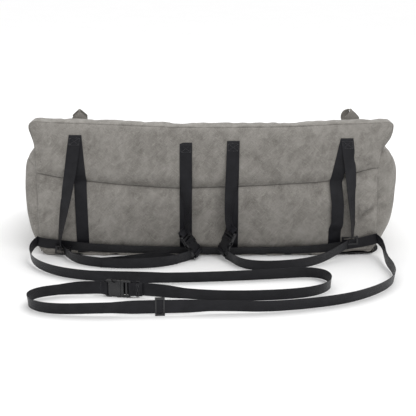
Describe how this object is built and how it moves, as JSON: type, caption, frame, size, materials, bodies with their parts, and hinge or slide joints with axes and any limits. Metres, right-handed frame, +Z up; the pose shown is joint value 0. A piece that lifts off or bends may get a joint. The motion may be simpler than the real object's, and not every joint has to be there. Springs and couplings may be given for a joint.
{
  "type": "car seat pet bed",
  "caption": "Wide padded car-seat pet travel bed with webbing harness, side-release buckles, strap adjusters and fabric carry loops.",
  "frame": {"origin": "centre of the bed's footprint on the floor, free straps left out", "axes": "+Z up, +X along the length of the back to the right seen from behind, +Y from the harness side towards the open front"},
  "size_m": [1.16, 1.079, 0.458],
  "materials": {
    "suede_fabric": "matte",
    "webbing": "satin",
    "buckle_plastic": "satin",
    "non_slip_backing": "matte",
    "foam": "matte",
    "fibre_fill": "matte",
    "zip_tape": "matte",
    "zip_metal": "satin"
  },
  "bodies": {
    "root": {"back_cover": "suede_fabric", "back_foam_lower": "foam", "back_foam_upper": "foam", "base_cover": "suede_fabric", "base_foam": "foam", "belt_webbing_left": "webbing", "belt_webbing_right": "webbing", "buckle_socket_belt": "buckle_plastic", "buckle_socket_left": "buckle_plastic", "buckle_socket_right": "buckle_plastic", "floor_loop_left": "webbing", "floor_loop_right": "webbing", "floor_loop_tail_left": "webbing", "front_bolster_cover": "suede_fabric", "front_bolster_fill": "fibre_fill", "hanging_strap_inner_left": "webbing", "hanging_strap_inner_right": "webbing", "hanging_strap_outer_left": "webbing", "hanging_strap_outer_right": "webbing", "horizontal_strap": "webbing", "non_slip_base": "non_slip_backing", "side_bolster_cover_left": "suede_fabric", "side_bolster_cover_right": "suede_fabric", "side_bolster_fill_left": "fibre_fill", "side_bolster_fill_right": "fibre_fill", "stitched_strap_inner_left": "webbing", "stitched_strap_inner_right": "webbing", "stitched_strap_outer_left": "webbing", "stitched_strap_outer_right": "webbing"},
    "seat_cushion": {"seat_cushion_cover": "suede_fabric", "seat_cushion_foam": "foam", "cushion_zip_tape": "zip_tape"},
    "zip_slider": {"cushion_zip_slider": "zip_metal"},
    "carry_loop_left": {"carry_loop_left": "suede_fabric"},
    "carry_loop_right": {"carry_loop_right": "suede_fabric"},
    "buckle_plug_belt": {"buckle_plug_belt": "buckle_plastic", "strap_keeper": "webbing"},
    "buckle_prong_a_belt": {"buckle_prong_a_belt": "buckle_plastic"},
    "buckle_prong_b_belt": {"buckle_prong_b_belt": "buckle_plastic"},
    "buckle_plug_left": {"buckle_plug_left": "buckle_plastic"},
    "buckle_prong_a_left": {"buckle_prong_a_left": "buckle_plastic"},
    "buckle_prong_b_left": {"buckle_prong_b_left": "buckle_plastic"},
    "buckle_plug_right": {"buckle_plug_right": "buckle_plastic"},
    "buckle_prong_a_right": {"buckle_prong_a_right": "buckle_plastic"},
    "buckle_prong_b_right": {"buckle_prong_b_right": "buckle_plastic"},
    "adjuster_belt": {"adjuster_belt": "buckle_plastic"},
    "adjuster_left": {"adjuster_left": "buckle_plastic"},
    "adjuster_right": {"adjuster_right": "buckle_plastic"}
  },
  "joints": [
    {"name": "cushion_lift", "type": "slide", "parent": "root", "child": "seat_cushion", "axis": [0, 0, 1], "range_m": [0, 0.25]},
    {"name": "zip_slide", "type": "slide", "parent": "seat_cushion", "child": "zip_slider", "axis": [1, 0, 0], "range_m": [0, 0.62]},
    {"name": "carry_loop_left_flop", "type": "hinge", "parent": "root", "child": "carry_loop_left", "pos_m": [-0.405, -0.1997, 0.398], "axis": [1, 0, 0], "range_deg": [-85, 0]},
    {"name": "carry_loop_right_flop", "type": "hinge", "parent": "root", "child": "carry_loop_right", "pos_m": [0.436, -0.1997, 0.398], "axis": [1, 0, 0], "range_deg": [-85, 0]},
    {"name": "plug_belt_slide", "type": "slide", "parent": "root", "child": "buckle_plug_belt", "axis": [0.9833, -0.1822, 0], "range_m": [0, 0.03]},
    {"name": "prong_a_belt_press", "type": "hinge", "parent": "buckle_plug_belt", "child": "buckle_prong_a_belt", "pos_m": [-0.25267, -0.64729, 0.0378], "axis": [-0.1822, -0.9833, 0], "range_deg": [0, 6], "stiffness_Nm_per_rad": 0.0005, "springref_deg": -5.73},
    {"name": "prong_b_belt_press", "type": "hinge", "parent": "buckle_plug_belt", "child": "buckle_prong_b_belt", "pos_m": [-0.25267, -0.64729, 0.0122], "axis": [-0.1822, -0.9833, 0], "range_deg": [-6, 0], "stiffness_Nm_per_rad": 0.0005, "springref_deg": 5.73},
    {"name": "plug_left_slide", "type": "slide", "parent": "root", "child": "buckle_plug_left", "axis": [-0.549, 0, 0.8358], "range_m": [0, 0.03]},
    {"name": "prong_a_left_press", "type": "hinge", "parent": "buckle_plug_left", "child": "buckle_prong_a_left", "pos_m": [-0.06979, -0.32873, 0.0516], "axis": [0.701, -0.5446, 0.4604], "range_deg": [0, 6], "stiffness_Nm_per_rad": 0.0005, "springref_deg": -5.73},
    {"name": "prong_b_left_press", "type": "hinge", "parent": "buckle_plug_left", "child": "buckle_prong_b_left", "pos_m": [-0.05813, -0.30727, 0.05926], "axis": [0.701, -0.5446, 0.4604], "range_deg": [-6, 0], "stiffness_Nm_per_rad": 0.0005, "springref_deg": 5.73},
    {"name": "plug_right_slide", "type": "slide", "parent": "root", "child": "buckle_plug_right", "axis": [0.3907, 0, 0.9205], "range_m": [0, 0.03]},
    {"name": "prong_a_right_press", "type": "hinge", "parent": "buckle_plug_right", "child": "buckle_prong_a_right", "pos_m": [0.04621, -0.30727, 0.06554], "axis": [-0.772, -0.5446, 0.3277], "range_deg": [0, 6], "stiffness_Nm_per_rad": 0.0005, "springref_deg": -5.73},
    {"name": "prong_b_right_press", "type": "hinge", "parent": "buckle_plug_right", "child": "buckle_prong_b_right", "pos_m": [0.05905, -0.32873, 0.0601], "axis": [-0.772, -0.5446, 0.3277], "range_deg": [-6, 0], "stiffness_Nm_per_rad": 0.0005, "springref_deg": 5.73},
    {"name": "adjuster_belt_slide", "type": "slide", "parent": "root", "child": "adjuster_belt", "axis": [0.9982, 0.0607, 0], "range_m": [-0.05, 0.05]},
    {"name": "adjuster_left_slide", "type": "slide", "parent": "root", "child": "adjuster_left", "axis": [0.1336, 0, 0.991], "range_m": [0, 0.15]},
    {"name": "adjuster_right_slide", "type": "slide", "parent": "root", "child": "adjuster_right", "axis": [-0.0635, 0, 0.998], "range_m": [0, 0.15]}
  ],
  "couplings": [
    {"joint": "prong_b_belt_press", "follows": "prong_a_belt_press", "ratio": -1},
    {"joint": "prong_b_left_press", "follows": "prong_a_left_press", "ratio": -1},
    {"joint": "prong_b_right_press", "follows": "prong_a_right_press", "ratio": -1}
  ]
}
